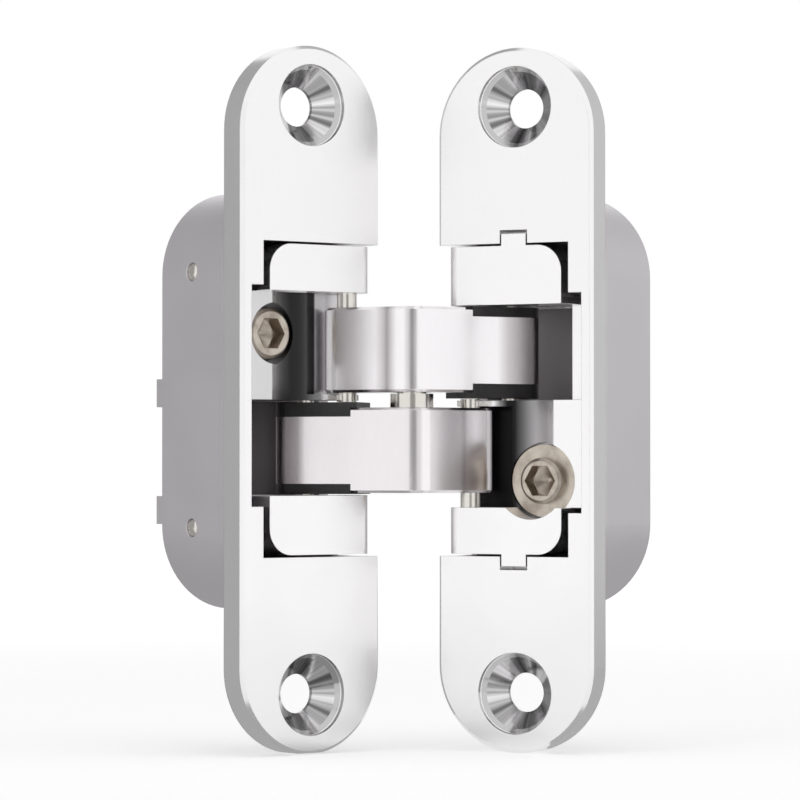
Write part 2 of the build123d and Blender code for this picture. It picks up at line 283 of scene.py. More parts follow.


# cavity: 1 on the walls inside a housing, 0 on its outer faces; the mask of the painted shade there
def makeCavityGroup():
    tree, start, end = newGroup(
        "housingCavity",
        [("Vector", "NodeSocketVector", None), ("Half Width", "NodeSocketFloat", 0.0101),
         ("Half Height", "NodeSocketFloat", 0.016), ("Front", "NodeSocketFloat", 0.001),
         ("Back", "NodeSocketFloat", 0.0144)],
        [("Mask", "NodeSocketFloat")],
    )
    split = addNode(tree, "ShaderNodeSeparateXYZ", (-600, 0))
    wire(tree, start, "Vector", split, "Vector")
    inside = None
    for row, (axis, limit, operation) in enumerate((("X", "Half Width", "LESS_THAN"),
                                                    ("Z", "Half Height", "LESS_THAN"),
                                                    ("Y", "Front", "GREATER_THAN"),
                                                    ("Y", "Back", "LESS_THAN"))):
        size = addNode(tree, "ShaderNodeMath", (-400, -150 * row), operation="ABSOLUTE")
        wire(tree, split, axis, size, 0)
        test = addNode(tree, "ShaderNodeMath", (-200, -150 * row), operation=operation)
        wire(tree, size, "Value", test, 0)
        wire(tree, start, limit, test, 1)
        if inside is None:
            inside = test
            continue
        both = addNode(tree, "ShaderNodeMath", (0, -150 * row), operation="MULTIPLY")
        wire(tree, inside, "Value", both, 0)
        wire(tree, test, "Value", both, 1)
        inside = both
    wire(tree, inside, "Value", end, "Mask")
    return tree


grainGroup = makeGrainGroup()
skinGroup = makeSkinGroup()
depthGroup = makeDepthGroup()
countersinkGroup = makeCountersinkGroup()
cavityGroup = makeCavityGroup()
print("shader groups:", [group.name for group in bpy.data.node_groups])


def startMaterial(name, leaf):
    material = bpy.data.materials.new(name)
    material.use_nodes = True
    tree = material.node_tree
    shader = tree.nodes["Principled BSDF"]
    shader.location = (700, 0)
    tree.nodes["Material Output"].location = (1000, 0)
    place = addNode(tree, "ShaderNodeTexCoord", (-1500, 0))
    mapping = addNode(tree, "ShaderNodeMapping", (-1300, 0))
    turn = leafFrames[leaf]["turn"]
    origin = leafFrames[leaf]["origin"]
    mapping.inputs["Rotation"].default_value = (0, 0, -turn)
    back = -origin
    mapping.inputs["Location"].default_value = (
        back.x * math.cos(turn) + back.y * math.sin(turn),
        back.y * math.cos(turn) - back.x * math.sin(turn),
        back.z,
    )
    wire(tree, place, "Object", mapping, "Vector")
    return material, tree, shader, mapping


def blendColours(tree, at, low, high):
    mix = addNode(tree, "ShaderNodeMix", at, data_type="RGBA")
    mix.inputs["A"].default_value = (*low, 1)
    mix.inputs["B"].default_value = (*high, 1)
    return mix


def colourOut(mix):
    return next(s for s in mix.outputs if s.type == "RGBA")


def colourIn(mix, which):
    return next(s for s in mix.inputs if s.type == "RGBA" and s.name == which)


def factorIn(mix):
    return next(s for s in mix.inputs if s.type == "VALUE" and s.name == "Factor")


# plated castings: leaves, carriers and arms
# turned: painted light and shade on the countersinks, in broad stops round the hole, 0 and 1 on the side away from
# the other leaf and 0.25 towards the leaf's middle height
# streak: the tool's streaks on that tone, from dark to light between two values of the noise, partly real marks
# and partly a painted streaky reflection; rim: a painted ring of shade at the cones' outer edge
# deep: painted shade where the leaf lies deeper than its plate and at the arms' far ends in the pockets; cavity:
# painted shade on the walls inside the housings
# mirroredDeep: how much of the painted deep shade is left where another metal face mirrors it
# the carriers' recess tone: painted shade in stops across the leaf; the knuckle is at + on the left leaf and
# at - on the right one
# the arms' bands: painted shade at the far ends and painted reflections at the ridges and knuckles, in stops along
# them,
# 0 at the hub, 1 at the knuckle's pin and below 0 to the far end
chromeLooks = {
    "leaf": {"face": (0.955, 0.945, 0.948), "grainTone": (0.885, 0.877, 0.882), "deep": (0.78, 0.757, 0.78),
             "cavity": {"left": (0.16, 0.155, 0.155), "right": (0.42, 0.41, 0.41)},
             "roughFace": 0.20, "roughDeep": 0.40, "front": -0.5 * mm, "back": 1.0 * mm, "bump": 0.05,
             "mirroredDeep": 1.0, "turnedRough": 0.12, "rim": 0.55,
             "turned": ((0.0, 0.34), (0.25, 0.60), (0.5, 0.95), (0.75, 0.42), (1.0, 0.34)),
             "streak": {"noise": (0.36, 0.62), "tone": (0.22, 1.15)}},
    "leftCarrier": {"face": (0.965, 0.955, 0.96), "grainTone": (0.90, 0.89, 0.895),
                    "recessShade": ((-5.0 * mm, 0.22), (-2.5 * mm, 0.10), (0.0, 0.03), (4.2 * mm, 0.025),
                               (4.6 * mm, 0.90), (7.0 * mm, 0.90)),
                    "roughFace": 0.20, "roughDeep": 0.30, "front": -2.2 * mm, "back": 0.8 * mm, "bump": 0.04,
                    "mirroredDeep": 0.3},
    "rightCarrier": {"face": (0.965, 0.955, 0.96), "grainTone": (0.90, 0.89, 0.895),
                     "recessShade": ((-7.0 * mm, 0.02), (-2.2 * mm, 0.02), (-1.0 * mm, 0.15), (1.0 * mm, 0.46),
                                (5.0 * mm, 0.55)),
                     "roughFace": 0.20, "roughDeep": 0.30, "front": -1.0 * mm, "back": 0.2 * mm, "bump": 0.04,
                     "mirroredDeep": 0.3},
    "lowerArm": {"face": (0.95, 0.935, 0.94), "grainTone": (0.88, 0.865, 0.87), "deep": (0.34, 0.325, 0.325),
                 "roughFace": 0.20, "roughDeep": 0.30, "front": 2.5 * mm, "back": 9.0 * mm, "bump": 0.035,
                 "mirroredDeep": 0.3, "crown": {"lean": 0.18, "from": -5.0 * mm, "to": 0.5 * mm},
                 "paintedBands": ((-1.42, 0.16), (-1.22, 0.50), (-1.16, 0.92), (-0.24, 0.92), (-0.2, 0.72),
                           (-0.12, 0.78), (-0.08, 1.0), (0.58, 1.0), (0.66, 0.75), (0.72, 0.95), (0.9, 1.0))},
    "upperArm": {"face": (0.965, 0.96, 0.96), "grainTone": (0.90, 0.895, 0.895), "deep": (0.42, 0.405, 0.405),
                 "roughFace": 0.20, "roughDeep": 0.30, "front": 6.5 * mm, "back": 11.0 * mm, "bump": 0.035,
                 "mirroredDeep": 0.3, "crown": {"lean": 0.40, "from": -6.0 * mm, "to": 0.0},
                 "paintedBands": ((-1.34, 0.22), (-1.1, 0.66), (-1.0, 1.0), (-0.2, 1.0), (-0.17, 0.70),
                           (-0.1, 0.78), (-0.05, 1.0), (0.06, 1.0), (0.13, 0.75), (0.21, 0.42),
                           (0.28, 0.68), (0.4, 1.0), (0.9, 1.0))},
}
# what all the plated castings share; green and bandWarmth tint the tones in stops
platingLook = {"green": 0.985, "bandWarmth": 0.05, "hazeShare": 0.05, "grainRelief": 0.6,
               "ringRelief": 0.8, "bumpDepth": 0.02 * mm}


def toneRamp(tree, at, stops, warmth=0.0):
    ramp = addNode(tree, "ShaderNodeValToRGB", at)
    first, last = stops[0][0], stops[-1][0]
    marks = ramp.color_ramp.elements
    for place, _ in stops[1:-1]:
        marks.new((place - first) / (last - first))
    for mark, (_, tone) in zip(marks, stops):
        cooled = tone ** (1 + warmth)
        mark.color = (tone, platingLook["green"] * cooled, cooled, 1)
    return ramp


# painted shade in the carriers' recesses, in tone stops across the leaf
def recessShadeRamp(tree, mapping, stops):
    split = addNode(tree, "ShaderNodeSeparateXYZ", (-1000, -750))
    wire(tree, mapping, "Vector", split, "Vector")
    across = mapRange(tree, (-800, -750), (stops[0][0], stops[-1][0]))
    wire(tree, split, "X", across, "Value")
    ramp = toneRamp(tree, (-600, -750), stops)
    wire(tree, across, "Result", ramp, "Fac")
    return ramp


# crown: the arms' faces are ground a little round, so their far ends look out of the pocket
def crownNormal(tree, mapping, softEdge, leaf, crown):
    turn = leafFrames[leaf]["turn"]
    outward = (math.sin(turn) * crown["lean"], -math.cos(turn) * crown["lean"], 0)
    along = placeGroup(tree, depthGroup, (-500, -800), Front=crown["from"], Back=crown["to"])
    wire(tree, mapping, "Vector", along, "Vector")
    aim = addNode(tree, "ShaderNodeVectorTransform", (-500, -1000), vector_type="VECTOR",
                  convert_from="OBJECT", convert_to="WORLD")
    aim.inputs["Vector"].default_value = outward
    lean = addNode(tree, "ShaderNodeVectorMath", (-250, -900), operation="SCALE")
    wire(tree, aim, "Vector", lean, "Vector")
    wire(tree, along, "Depth", lean, "Scale")
    bent = addNode(tree, "ShaderNodeVectorMath", (0, -800), operation="ADD")
    wire(tree, softEdge, "Normal", bent, 0)
    wire(tree, lean, "Vector", bent, 1)
    crowned = addNode(tree, "ShaderNodeVectorMath", (150, -800), operation="NORMALIZE")
    wire(tree, bent, "Vector", crowned, 0)
    return crowned


# painted shade and painted reflections in tone stops along an arm, 0 at the hub and 1 at its knuckle's pin
def paintedArmBands(tree, mapping, knuckleJoint, stops):
    hub = Vector(jointCalled("centre_turn")["pos_m"])
    reach = Vector(jointCalled(knuckleJoint)["pos_m"]) - hub
    reach.z = 0
    place = mapping.inputs["Vector"].links[0].from_socket
    fromHub = addNode(tree, "ShaderNodeVectorMath", (-1000, 950), operation="SUBTRACT")
    fromHub.inputs[1].default_value = hub
    tree.links.new(place, fromHub.inputs[0])
    along = addNode(tree, "ShaderNodeVectorMath", (-800, 950), operation="DOT_PRODUCT")
    along.inputs[1].default_value = reach / reach.length_squared
    wire(tree, fromHub, "Vector", along, 0)
    share = mapRange(tree, (-600, 950), (stops[0][0], stops[-1][0]))
    wire(tree, along, "Value", share, "Value")
    ramp = toneRamp(tree, (-400, 950), stops, platingLook["bandWarmth"])
    wire(tree, share, "Result", ramp, "Fac")
    return ramp


# cones of the fixing holes, laid over the plate's own colour, roughness and relief, with painted light and shade
# round each hole, the tool's streaks painted as a streaky reflection, and a painted ring of shade at the rim
def turnedCones(tree, mapping, leaf, look, shade, rough, relief):
    turned = placeGroup(tree, countersinkGroup, (-1000, -500), Facing=leafFrames[leaf]["facing"])
    wire(tree, mapping, "Vector", turned, "Vector")
    # painted light and shade: broad tone stops round the hole
    broad = toneRamp(tree, (-700, -500), look["turned"])
    wire(tree, turned, "Angle", broad, "Fac")
    # the tool's streaks, partly real marks and partly a painted streaky reflection
    streak = mapRange(tree, (-700, -750), look["streak"]["noise"], look["streak"]["tone"])
    wire(tree, turned, "Streak", streak, "Value")
    streaked = addNode(tree, "ShaderNodeVectorMath", (-400, -550), operation="SCALE")
    wire(tree, broad, "Color", streaked, "Vector")
    wire(tree, streak, "Result", streaked, "Scale")
    # painted shade: a darker ring at the cone's outer edge
    rim = blendColours(tree, (-200, 400), look["face"], (look["rim"],) * 3)
    tree.links.new(turned.outputs["Rim"], factorIn(rim))
    tree.links.new(streaked.outputs["Vector"], colourIn(rim, "A"))
    cone = blendColours(tree, (-100, 200), look["face"], look["face"])
    tree.links.new(turned.outputs["Mask"], factorIn(cone))
    tree.links.new(colourOut(shade), colourIn(cone, "A"))
    tree.links.new(colourOut(rim), colourIn(cone, "B"))
    coneRough = addNode(tree, "ShaderNodeMix", (-100, -100), data_type="FLOAT")
    coneRough.inputs["B"].default_value = look["turnedRough"]
    wire(tree, turned, "Mask", coneRough, "Factor")
    wire(tree, rough, "Value", coneRough, "A")
    rings = addNode(tree, "ShaderNodeMath", (-350, -650), operation="MULTIPLY")
    wire(tree, turned, "Rings", rings, 0)
    wire(tree, turned, "Mask", rings, 1)
    ringRelief = addNode(tree, "ShaderNodeMath", (-100, -400), operation="MULTIPLY_ADD")
    ringRelief.inputs[1].default_value = platingLook["ringRelief"]
    wire(tree, rings, "Value", ringRelief, 0)
    wire(tree, relief, "Value", ringRelief, 2)
    return cone, coneRough, ringRelief


def platedChrome(name, leaf, look, blockSide=0.0, knuckleJoint=None):
    material, tree, shader, mapping = startMaterial(name, leaf)
    grain = placeGroup(tree, grainGroup, (-1000, 250))
    skin = placeGroup(tree, skinGroup, (-1000, 0))
    depth = placeGroup(tree, depthGroup, (-1000, -250), Front=look["front"], Back=look["back"])
    depth.inputs["Block Side"].default_value = blockSide
    for group in (grain, skin, depth):
        wire(tree, mapping, "Vector", group, "Vector")
    tone = blendColours(tree, (-600, 250), look["face"], look["grainTone"])
    tree.links.new(grain.outputs["Grain"], factorIn(tone))
    # painted shade: the tone darkens to the deep tone with depth, by mirroredDeep less in what the metal mirrors
    shade = blendColours(tree, (-350, 200), look["face"], look.get("deep", look["face"]))
    seen = addNode(tree, "ShaderNodeLightPath", (-1000, 500))
    share = mapRange(tree, (-800, 500), toLimits=(look["mirroredDeep"], 1.0))
    wire(tree, seen, "Is Camera Ray", share, "Value")
    darkened = addNode(tree, "ShaderNodeMath", (-600, 450), operation="MULTIPLY")
    wire(tree, depth, "Depth", darkened, 0)
    wire(tree, share, "Result", darkened, 1)
    tree.links.new(darkened.outputs["Value"], factorIn(shade))
    # the arms' painted shade at their far ends and painted reflections as ridge lines and knuckle streaks,
    # multiplied into the tone
    if knuckleJoint:
        banded = blendColours(tree, (-450, 350), look["face"], look["face"])
        banded.blend_type = "MULTIPLY"
        factorIn(banded).default_value = 1.0
        paintedBands = paintedArmBands(tree, mapping, knuckleJoint, look["paintedBands"])
        tree.links.new(colourOut(tone), colourIn(banded, "A"))
        tree.links.new(paintedBands.outputs["Color"], colourIn(banded, "B"))
        tone = banded
    tree.links.new(colourOut(tone), colourIn(shade, "A"))
    # painted shade on the walls inside the housing, for camera rays only
    if "cavity" in look:
        hollow = placeGroup(tree, cavityGroup, (-1000, 750))
        wire(tree, mapping, "Vector", hollow, "Vector")
        inner = blendColours(tree, (-600, 700), look["deep"], look["cavity"][leaf])
        hidden = addNode(tree, "ShaderNodeMath", (-800, 750), operation="MULTIPLY")
        wire(tree, hollow, "Mask", hidden, 0)
        wire(tree, seen, "Is Camera Ray", hidden, 1)
        tree.links.new(hidden.outputs["Value"], factorIn(inner))
        tree.links.new(colourOut(inner), colourIn(shade, "B"))
    # painted shade in the carriers' recesses, laid as the deep tone
    if "recessShade" in look:
        ramp = recessShadeRamp(tree, mapping, look["recessShade"])
        tree.links.new(ramp.outputs["Color"], colourIn(shade, "B"))
    rough = mapRange(tree, (-600, -100), toLimits=(look["roughFace"], look["roughDeep"]))
    wire(tree, depth, "Depth", rough, "Value")
    hazed = addNode(tree, "ShaderNodeMath", (-350, -200), operation="MULTIPLY_ADD")
    hazed.inputs[1].default_value = platingLook["hazeShare"]
    wire(tree, skin, "Haze", hazed, 0)
    wire(tree, rough, "Result", hazed, 2)
    relief = addNode(tree, "ShaderNodeMath", (-350, -450), operation="MULTIPLY_ADD")
    relief.inputs[1].default_value = platingLook["grainRelief"]
    wire(tree, grain, "Grain", relief, 0)
    wire(tree, skin, "Peel", relief, 2)
    softEdge = addNode(tree, "ShaderNodeBevel", (-100, -600), samples=finishLook["edgeSamples"])
    setInputs(softEdge, {"Radius": finishLook["edgeRadius"]})
    bump = addNode(tree, "ShaderNodeBump", (200, -400))
    setInputs(bump, {"Strength": look["bump"], "Distance": platingLook["bumpDepth"]})
    if "crown" in look:
        crowned = crownNormal(tree, mapping, softEdge, leaf, look["crown"])
        wire(tree, crowned, "Vector", bump, "Normal")
    else:
        wire(tree, softEdge, "Normal", bump, "Normal")
    wire(tree, bump, "Normal", shader, "Normal")
    shader.inputs["Metallic"].default_value = 1.0
    roughOut = hazed.outputs["Value"]
    # painted light and shade round the countersinks, with a painted ring of shade at their rims
    if "turned" in look:
        shade, coneRough, relief = turnedCones(tree, mapping, leaf, look, shade, hazed, relief)
        roughOut = coneRough.outputs["Result"]
    tree.links.new(colourOut(shade), shader.inputs["Base Color"])
    tree.links.new(roughOut, shader.inputs["Roughness"])
    wire(tree, relief, "Value", bump, "Height")
    return material


# ground steel pins and washer
pinLook = {"light": (0.80, 0.78, 0.74), "dark": (0.70, 0.67, 0.62), "rough": (0.10, 0.20),
           "lines": (600.0, 600.0, 9000.0)}


def groundSteel(name):
    material, tree, shader, mapping = startMaterial(name, "left")
    grain = placeGroup(tree, grainGroup, (-900, 100), Lines=pinLook["lines"])
    wire(tree, mapping, "Vector", grain, "Vector")
    tone = blendColours(tree, (-500, 150), pinLook["light"], pinLook["dark"])
    tree.links.new(grain.outputs["Grain"], factorIn(tone))
    tree.links.new(colourOut(tone), shader.inputs["Base Color"])
    rough = mapRange(tree, (-500, -150), toLimits=pinLook["rough"])
    wire(tree, grain, "Grain", rough, "Value")
    wire(tree, rough, "Result", shader, "Roughness")
    shader.inputs["Metallic"].default_value = 1.0
    return material


# nickel plated setting screws, with the rings that turning leaves round their axis
screwLook = {"light": (0.60, 0.54, 0.47), "dark": (0.36, 0.31, 0.26), "rough": (0.22, 0.42),
             "ringPitch": 0.16 * mm, "ringRelief": 0.5, "bump": 0.25, "bumpDepth": 0.03 * mm,
             "peelSize": 2600.0, "hazeSize": 380.0}


def nickelScrew(name, leaf, axisPlace):
    material, tree, shader, mapping = startMaterial(name, leaf)
    centre = addNode(tree, "ShaderNodeVectorMath", (-1050, 200), operation="SUBTRACT")
    centre.inputs[1].default_value = axisPlace
    wire(tree, mapping, "Vector", centre, 0)
    flat = addNode(tree, "ShaderNodeVectorMath", (-850, 200), operation="MULTIPLY")
    flat.inputs[1].default_value = (1, 0, 1)
    wire(tree, centre, "Vector", flat, 0)
    radius = addNode(tree, "ShaderNodeVectorMath", (-650, 200), operation="LENGTH")
    wire(tree, flat, "Vector", radius, 0)
    ring = addNode(tree, "ShaderNodeMath", (-450, 200), operation="PINGPONG")
    ring.inputs[1].default_value = screwLook["ringPitch"]
    wire(tree, radius, "Value", ring, 0)
    ringHeight = addNode(tree, "ShaderNodeMath", (-250, 200), operation="DIVIDE")
    ringHeight.inputs[1].default_value = screwLook["ringPitch"]
    wire(tree, ring, "Value", ringHeight, 0)
    skin = placeGroup(tree, skinGroup, (-850, -150))
    setInputs(skin, {"Peel Size": screwLook["peelSize"], "Haze Size": screwLook["hazeSize"]})
    wire(tree, mapping, "Vector", skin, "Vector")
    tone = blendColours(tree, (-250, 0), screwLook["light"], screwLook["dark"])
    tree.links.new(skin.outputs["Haze"], factorIn(tone))
    tree.links.new(colourOut(tone), shader.inputs["Base Color"])
    rough = mapRange(tree, (-250, -250), toLimits=screwLook["rough"])
    wire(tree, skin, "Peel", rough, "Value")
    wire(tree, rough, "Result", shader, "Roughness")
    relief = addNode(tree, "ShaderNodeMath", (0, -400), operation="MULTIPLY_ADD")
    relief.inputs[1].default_value = screwLook["ringRelief"]
    wire(tree, ringHeight, "Value", relief, 0)
    wire(tree, skin, "Peel", relief, 2)
    softEdge = addNode(tree, "ShaderNodeBevel", (0, -600), samples=finishLook["edgeSamples"])
    setInputs(softEdge, {"Radius": finishLook["edgeRadius"]})
    bump = addNode(tree, "ShaderNodeBump", (300, -400))
    setInputs(bump, {"Strength": screwLook["bump"], "Distance": screwLook["bumpDepth"]})
    wire(tree, relief, "Value", bump, "Height")
    wire(tree, softEdge, "Normal", bump, "Normal")
    wire(tree, bump, "Normal", shader, "Normal")
    shader.inputs["Metallic"].default_value = 1.0
    return material


# black acetal pads and bushes
padLook = {"light": (0.035, 0.033, 0.033), "dark": (0.016, 0.015, 0.015), "rough": (0.34, 0.5),
           "bump": 0.2, "bumpDepth": 0.02 * mm, "peelSize": 3200.0, "hazeSize": 240.0}


def blackPlastic(name):
    material, tree, shader, mapping = startMaterial(name, "left")
    skin = placeGroup(tree, skinGroup, (-900, 0))
    setInputs(skin, {"Peel Size": padLook["peelSize"], "Haze Size": padLook["hazeSize"]})
    wire(tree, mapping, "Vector", skin, "Vector")
    tone = blendColours(tree, (-500, 150), padLook["dark"], padLook["light"])
    tree.links.new(skin.outputs["Haze"], factorIn(tone))
    tree.links.new(colourOut(tone), shader.inputs["Base Color"])
    rough = mapRange(tree, (-500, -150), toLimits=padLook["rough"])
    wire(tree, skin, "Peel", rough, "Value")
    wire(tree, rough, "Result", shader, "Roughness")
    bump = addNode(tree, "ShaderNodeBump", (-100, -350))
    setInputs(bump, {"Strength": padLook["bump"], "Distance": padLook["bumpDepth"]})
    wire(tree, skin, "Peel", bump, "Height")
    wire(tree, bump, "Normal", shader, "Normal")
    return material


def dress(nodeName, material):
    mesh = nodes[nodeName].data
    mesh.materials.clear()
    mesh.materials.append(material)


def screwPlace(jointName, leaf):
    turn = leafFrames[leaf]["turn"]
    gap = Vector(jointCalled(jointName)["pos_m"]) - leafFrames[leaf]["origin"]
    return (gap.x * math.cos(turn) + gap.y * math.sin(turn), 0.0, gap.z)


steel = groundSteel("groundSteel")
plastic = blackPlastic("blackAcetal")
for side, blockSide in (("left", 1.0), ("right", -1.0)):
    dress(side + "_body", platedChrome(side + "LeafChrome", side, chromeLooks["leaf"]))
    carrierLook = chromeLooks[side + "Carrier"]
    dress(side + "_carrier", platedChrome(side + "CarrierChrome", side, carrierLook, blockSide))
    dress(side + "_pivot_pin", steel)
dress("lower_arm", platedChrome("lowerArmChrome", "left", chromeLooks["lowerArm"],
                                knuckleJoint="right_leaf_swing"))
dress("upper_arm", platedChrome("upperArmChrome", "right", chromeLooks["upperArm"],
                                knuckleJoint="upper_arm_swing"))
dress("left_side_screw", nickelScrew("sideScrewNickel", "left", screwPlace("side_screw_turn", "left")))
dress("right_depth_screw", nickelScrew("depthScrewNickel", "right", screwPlace("depth_screw_turn", "right")))
for name in nodes:
    if name.endswith(("_guide_pin", "_slide_pin")) or name in ("centre_pin", "centre_washer"):
        dress(name, steel)
    if name.endswith(("_pad", "_bush")):
        dress(name, plastic)
print("materials:", len(bpy.data.materials))


# peened ends of the guide pins, one domed rivet at each end of both pins
pinEndLook = {"radius": 1.35 * mm, "height": 0.5 * mm, "segments": 40, "rings": 12, "domeShare": 0.92,
              "collarShare": 0.5, "pins": ("left_upper_guide_pin", "left_lower_guide_pin"),
              "body": "left_leaf", "slot": "bright_steel"}


def makePinEndTree():
    tree = bpy.data.node_groups.new("peenedEnds", "GeometryNodeTree")
    for label, kind in (("Pin Ends", "NodeSocketGeometry"), ("Radius", "NodeSocketFloat"),
                        ("Height", "NodeSocketFloat"), ("Dome Share", "NodeSocketFloat"),
                        ("Material", "NodeSocketMaterial")):
        tree.interface.new_socket(label, in_out="INPUT", socket_type=kind)
    tree.interface.new_socket("Geometry", in_out="OUTPUT", socket_type="NodeSocketGeometry")
    start = addNode(tree, "NodeGroupInput", (-1000, 0))
    end = addNode(tree, "NodeGroupOutput", (1000, 0))
    dome = addNode(tree, "GeometryNodeMeshUVSphere", (-600, -300))
    setInputs(dome, {"Segments": pinEndLook["segments"], "Rings": pinEndLook["rings"]})
    wire(tree, start, "Radius", dome, "Radius")
    flatten = addNode(tree, "ShaderNodeMath", (-800, -500), operation="DIVIDE")
    wire(tree, start, "Height", flatten, 0)
    wire(tree, start, "Radius", flatten, 1)
    squash = addNode(tree, "ShaderNodeCombineXYZ", (-600, -500))
    wire(tree, start, "Dome Share", squash, "X")
    wire(tree, start, "Dome Share", squash, "Y")
    wire(tree, flatten, "Value", squash, "Z")
    shaped = addNode(tree, "GeometryNodeTransform", (-400, -300))
    wire(tree, dome, "Mesh", shaped, "Geometry")
    wire(tree, squash, "Vector", shaped, "Scale")
    collarHeight = addNode(tree, "ShaderNodeMath", (-800, -800), operation="MULTIPLY")
    collarHeight.inputs[1].default_value = pinEndLook["collarShare"]
    wire(tree, start, "Height", collarHeight, 0)
    collar = addNode(tree, "GeometryNodeMeshCylinder", (-600, -750))
    collar.inputs["Vertices"].default_value = pinEndLook["segments"]
    wire(tree, start, "Radius", collar, "Radius")
    wire(tree, collarHeight, "Value", collar, "Depth")
    rivet = addNode(tree, "GeometryNodeJoinGeometry", (-200, -400))
    wire(tree, shaped, "Geometry", rivet, "Geometry")
    wire(tree, collar, "Mesh", rivet, "Geometry")
    alongPin = addNode(tree, "GeometryNodeTransform", (0, -300))
    alongPin.inputs["Rotation"].default_value = (0, math.pi / 2, 0)
    wire(tree, rivet, "Geometry", alongPin, "Geometry")
    placed = addNode(tree, "GeometryNodeInstanceOnPoints", (200, 0))
    wire(tree, start, "Pin Ends", placed, "Points")
    wire(tree, alongPin, "Geometry", placed, "Instance")
    solid = addNode(tree, "GeometryNodeRealizeInstances", (450, 0))
    coat = addNode(tree, "GeometryNodeSetMaterial", (700, 0))
    wire(tree, placed, "Instances", solid, "Geometry")
    wire(tree, solid, "Geometry", coat, "Geometry")
    wire(tree, start, "Material", coat, "Material")
    wire(tree, coat, "Geometry", end, "Geometry")
    return tree


def makePinEnds():
    ends = []
    for pin in pinEndLook["pins"]:
        low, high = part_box(pin)
        middle = (low + high) / 2
        ends += [(low.x, middle.y, middle.z), (high.x, middle.y, middle.z)]
    seed = bpy.data.meshes.new("pinEndPoints")
    seed.from_pydata(ends, [], [])
    pattern = bpy.data.objects.new("pinEndPattern", seed)
    scene.collection.objects.link(pattern)
    modifier = pattern.modifiers.new("peenedEnds", "NODES")
    modifier.node_group = makePinEndTree()
    values = {"Radius": pinEndLook["radius"], "Height": pinEndLook["height"],
              "Dome Share": pinEndLook["domeShare"], "Material": steel}
    for socket in modifier.node_group.interface.items_tree:
        if socket.in_out == "INPUT" and socket.name in values:
            modifier[socket.identifier] = values[socket.name]
    made = pattern.evaluated_get(bpy.context.evaluated_depsgraph_get())
    mesh = bpy.data.meshes.new_from_object(made)
    bpy.data.objects.remove(pattern)
    for face in mesh.polygons:
        face.use_smooth = True
    piece = bpy.data.objects.new("guidePinEnds", mesh)
    scene.collection.objects.link(piece)
    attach(piece, pinEndLook["body"])
    print("pin ends:", len(ends), "rivets,", len(mesh.polygons), "faces")


makePinEnds()


# stage: pale floor and white surround; mirroredGlow changes the floor's glow where the metal mirrors it
stageLook = {"floorSize": 40.0, "floorColour": (0.86, 0.86, 0.86), "glowNear": 0.42, "glowFar": 0.66,
             "floorRough": 0.9, "mirroredGlow": -0.06, "nearTo": 0.12, "farFrom": 0.7, "surround": 0.4}


def makeFloor():
    half = stageLook["floorSize"] / 2
    level = cadLow.z
    corners = [(-half, -half, level), (half, -half, level), (half, half, level), (-half, half, level)]
    mesh = bpy.data.meshes.new("floor")
    mesh.from_pydata(corners, [], [(0, 1, 2, 3)])
    floor = bpy.data.objects.new("floor", mesh)
    scene.collection.objects.link(floor)
    material = bpy.data.materials.new("paleFloor")
    material.use_nodes = True
    tree = material.node_tree
    shader = tree.nodes["Principled BSDF"]
    setInputs(shader, {"Base Color": (*stageLook["floorColour"], 1), "Roughness": stageLook["floorRough"],
                       "Specular IOR Level": 0.0, "Emission Color": (1, 1, 1, 1)})
    seen = addNode(tree, "ShaderNodeLightPath", (-600, -200))
    direct = directView(tree, seen)
    glow = addNode(tree, "ShaderNodeMath", (0, -200), operation="MULTIPLY")
    place = addNode(tree, "ShaderNodeTexCoord", (-800, -450))
    away = addNode(tree, "ShaderNodeVectorMath", (-600, -450), operation="LENGTH")
    spread = mapRange(tree, (-300, -450), (stageLook["nearTo"], stageLook["farFrom"]),
                      (stageLook["glowNear"], stageLook["glowFar"]), interpolation_type="SMOOTHSTEP")
    wire(tree, place, "Object", away, 0)
    wire(tree, away, "Value", spread, "Value")
    wire(tree, direct, "Value", glow, 0)
    wire(tree, spread, "Result", glow, 1)
    mirrored = addNode(tree, "ShaderNodeMath", (200, -350), operation="MULTIPLY_ADD")
    mirrored.inputs[1].default_value = stageLook["mirroredGlow"]
    wire(tree, seen, "Is Glossy Ray", mirrored, 0)
    wire(tree, glow, "Value", mirrored, 2)
    wire(tree, mirrored, "Value", shader, "Emission Strength")
    mesh.materials.append(material)


def makeSurround():
    world = bpy.data.worlds.new("studio")
    scene.world = world
    world.use_nodes = True
    tree = world.node_tree
    background = tree.nodes["Background"]
    setInputs(background, {"Color": (1, 1, 1, 1)})
    direct = directView(tree, addNode(tree, "ShaderNodeLightPath", (-800, 0)))
    level = mapRange(tree, (-200, 0), toLimits=(stageLook["surround"], 1.0))
    wire(tree, direct, "Value", level, "Value")
    wire(tree, level, "Result", background, "Strength")


makeFloor()
makeSurround()

# camera at the photo's angle
cameraLook = {"azimuth": -38.75, "elevation": -0.95, "distance": 0.5103, "lens": 170.2, "sensor": 36.0,
              "target": (0.0115, -0.00854, 0.0)}


def viewAxes():
    turn = math.radians(cameraLook["azimuth"])
    lift = math.radians(cameraLook["elevation"])
    forward = Vector((-math.sin(turn) * math.cos(lift), math.cos(turn) * math.cos(lift), -math.sin(lift)))
    right = forward.cross(Vector((0, 0, 1))).normalized()
    return forward, right


def makeCamera():
    forward = viewAxes()[0]
    data = bpy.data.cameras.new("camera")
    data.lens = cameraLook["lens"]
    data.sensor_width = cameraLook["sensor"]
    camera = bpy.data.objects.new("camera", data)
    camera.location = Vector(cameraLook["target"]) - forward * cameraLook["distance"]
    camera.rotation_euler = forward.to_track_quat("-Z", "Y").to_euler()
    scene.collection.objects.link(camera)
    scene.camera = camera


makeCamera()

